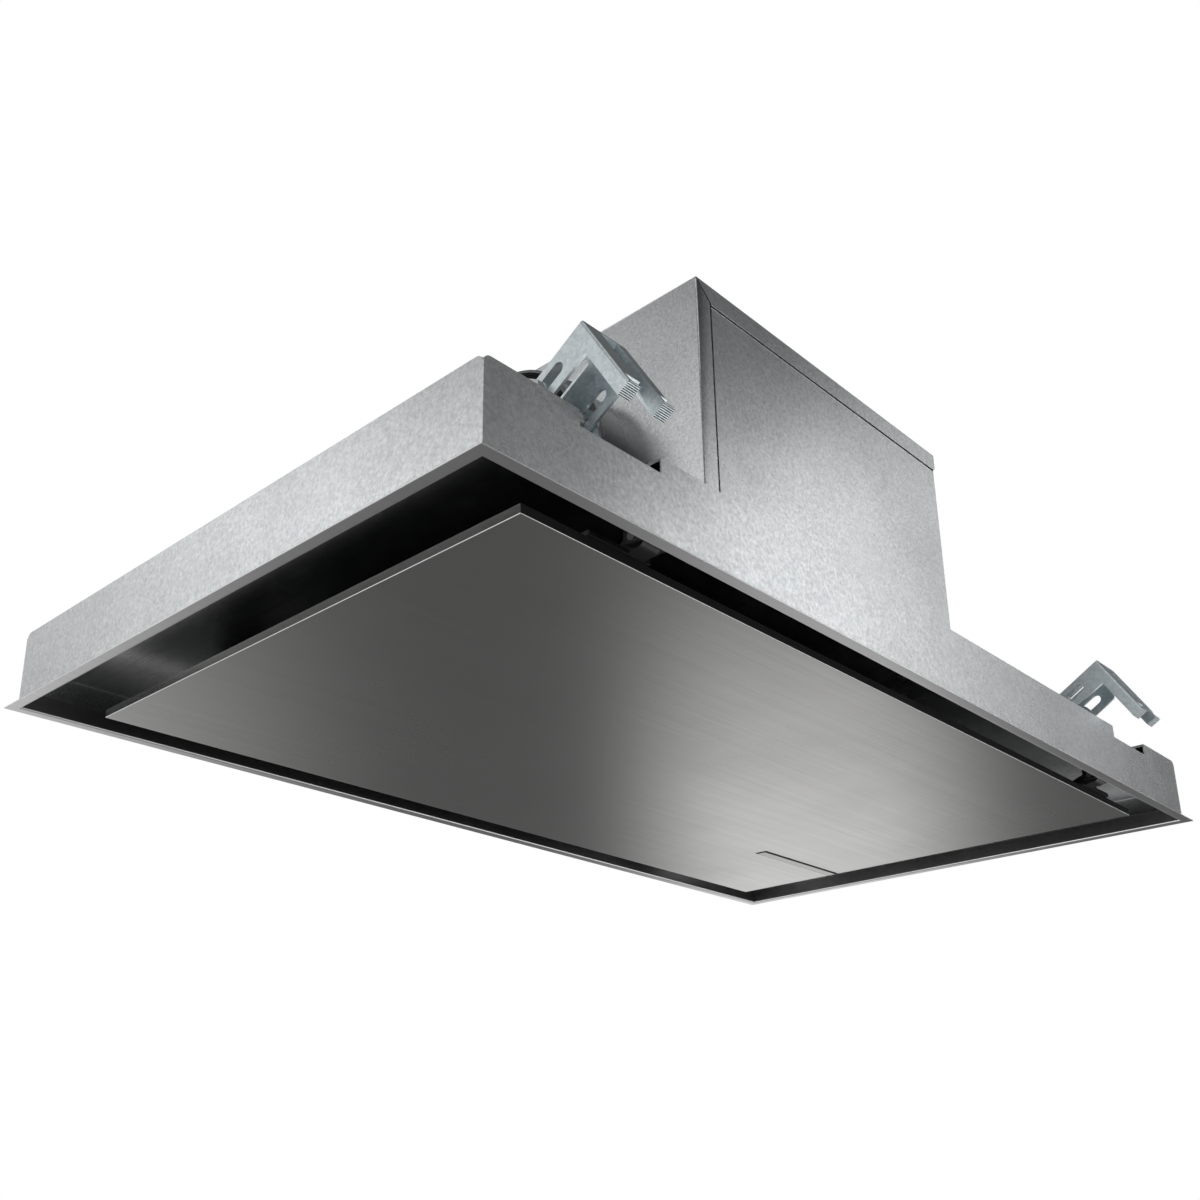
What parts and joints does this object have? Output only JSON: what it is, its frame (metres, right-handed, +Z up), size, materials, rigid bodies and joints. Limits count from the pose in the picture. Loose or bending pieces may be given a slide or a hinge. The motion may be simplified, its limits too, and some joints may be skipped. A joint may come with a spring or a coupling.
{
  "type": "ceiling range hood",
  "caption": "Flush ceiling extractor hood with perimeter intake, hinged cover panel, grease filters, blower box, side duct collar with flaps and fold-out clamp brackets.",
  "frame": {"origin": "centre of the flange's visible underside", "axes": "+X along the long side, away from the duct collar; +Y to the back, away from the cover panel's hinges; +Z up into the ceiling void"},
  "size_m": [0.9, 0.5314, 0.3012],
  "materials": {
    "stainless": "brushed along the long side",
    "galvanised": "satin",
    "zinc": "zinc plated, satin",
    "screw_steel": "plated, satin",
    "strip_metal": "brushed",
    "filter_metal": "satin",
    "black_plastic": "matte",
    "grey_plastic": "matte",
    "white_plastic": "matte",
    "copper": "varnished winding",
    "rotor_steel": "machined",
    "board": "matte"
  },
  "bodies": {
    "housing": {"flange_frame": "stainless", "housing_shell": "galvanised", "top_deck": "galvanised", "intake_liner": "stainless", "clamp_carrier_front_left": "zinc", "clamp_carrier_front_right": "zinc", "clamp_carrier_back_left": "zinc", "clamp_carrier_back_right": "zinc", "clamp_bolts": "screw_steel", "clamp_nuts": "screw_steel", "hinge_bracket_left": "black_plastic", "hinge_bracket_right": "black_plastic", "hinge_pins": "screw_steel", "panel_catch_left": "black_plastic", "panel_catch_right": "black_plastic", "filter_frame_left": "filter_metal", "filter_frame_right": "filter_metal", "filter_mesh_left": "filter_metal", "filter_mesh_right": "filter_metal", "box_left": "galvanised", "box_right": "galvanised", "box_front": "galvanised", "box_back": "galvanised", "box_lid": "galvanised", "collar_base": "grey_plastic", "duct_collar": "grey_plastic", "damper_pin": "screw_steel", "fan_tray": "galvanised", "scroll_base": "black_plastic", "scroll_wall": "black_plastic", "scroll_cover": "black_plastic", "inlet_ring": "black_plastic", "motor_case": "filter_metal", "motor_stator": "copper", "motor_bearings": "screw_steel", "control_box": "white_plastic", "control_lid": "white_plastic", "control_board": "board", "capacitor": "white_plastic", "cable_gland": "black_plastic", "sheet_screws": "screw_steel"},
    "cover": {"cover_panel": "stainless", "panel_backing": "galvanised", "badge_strip": "strip_metal", "hinge_arm_left": "black_plastic", "hinge_arm_right": "black_plastic", "catch_plates": "zinc"},
    "clamp_front_left": {"clamp_bracket_front_left": "zinc"},
    "clamp_front_right": {"clamp_bracket_front_right": "zinc"},
    "clamp_back_left": {"clamp_bracket_back_left": "zinc"},
    "clamp_back_right": {"clamp_bracket_back_right": "zinc"},
    "fan": {"impeller": "grey_plastic", "impeller_ring": "grey_plastic", "impeller_hub": "zinc", "motor_rotor": "rotor_steel", "motor_shaft": "screw_steel"},
    "flap_front": {"damper_flap_front": "black_plastic"},
    "flap_back": {"damper_flap_back": "black_plastic"},
    "latch_left": {"filter_latch_left": "black_plastic"},
    "latch_right": {"filter_latch_right": "black_plastic"}
  },
  "joints": [
    {"name": "cover_hinge", "type": "hinge", "parent": "housing", "child": "cover", "pos_m": [0, -0.224, 0.014], "axis": [1, 0, 0], "range_deg": [-90, 0]},
    {"name": "clamp_front_left_pivot", "type": "hinge", "parent": "housing", "child": "clamp_front_left", "pos_m": [-0.34, -0.197, 0.095], "axis": [1, 0, 0], "range_deg": [-90, 18]},
    {"name": "clamp_front_right_pivot", "type": "hinge", "parent": "housing", "child": "clamp_front_right", "pos_m": [0.34, -0.197, 0.095], "axis": [1, 0, 0], "range_deg": [-90, 18]},
    {"name": "clamp_back_left_pivot", "type": "hinge", "parent": "housing", "child": "clamp_back_left", "pos_m": [-0.34, 0.197, 0.095], "axis": [1, 0, 0], "range_deg": [-18, 90]},
    {"name": "clamp_back_right_pivot", "type": "hinge", "parent": "housing", "child": "clamp_back_right", "pos_m": [0.34, 0.197, 0.095], "axis": [1, 0, 0], "range_deg": [-18, 90]},
    {"name": "fan_spin", "type": "hinge", "parent": "housing", "child": "fan", "pos_m": [0.03, 0.025, 0.18], "axis": [0, 0, 1], "continuous": true},
    {"name": "flap_front_swing", "type": "hinge", "parent": "housing", "child": "flap_front", "pos_m": [-0.184, -0.025, 0.181], "axis": [0, 0, 1], "range_deg": [-80, 0], "stiffness_Nm_per_rad": 0.01},
    {"name": "flap_back_swing", "type": "hinge", "parent": "housing", "child": "flap_back", "pos_m": [-0.184, -0.025, 0.181], "axis": [0, 0, 1], "range_deg": [0, 80], "stiffness_Nm_per_rad": 0.01},
    {"name": "latch_left_slide", "type": "slide", "parent": "housing", "child": "latch_left", "axis": [0, 1, 0], "range_m": [0, 0.0095], "stiffness_N_per_m": 400},
    {"name": "latch_right_slide", "type": "slide", "parent": "housing", "child": "latch_right", "axis": [0, 1, 0], "range_m": [0, 0.0095], "stiffness_N_per_m": 400}
  ]
}
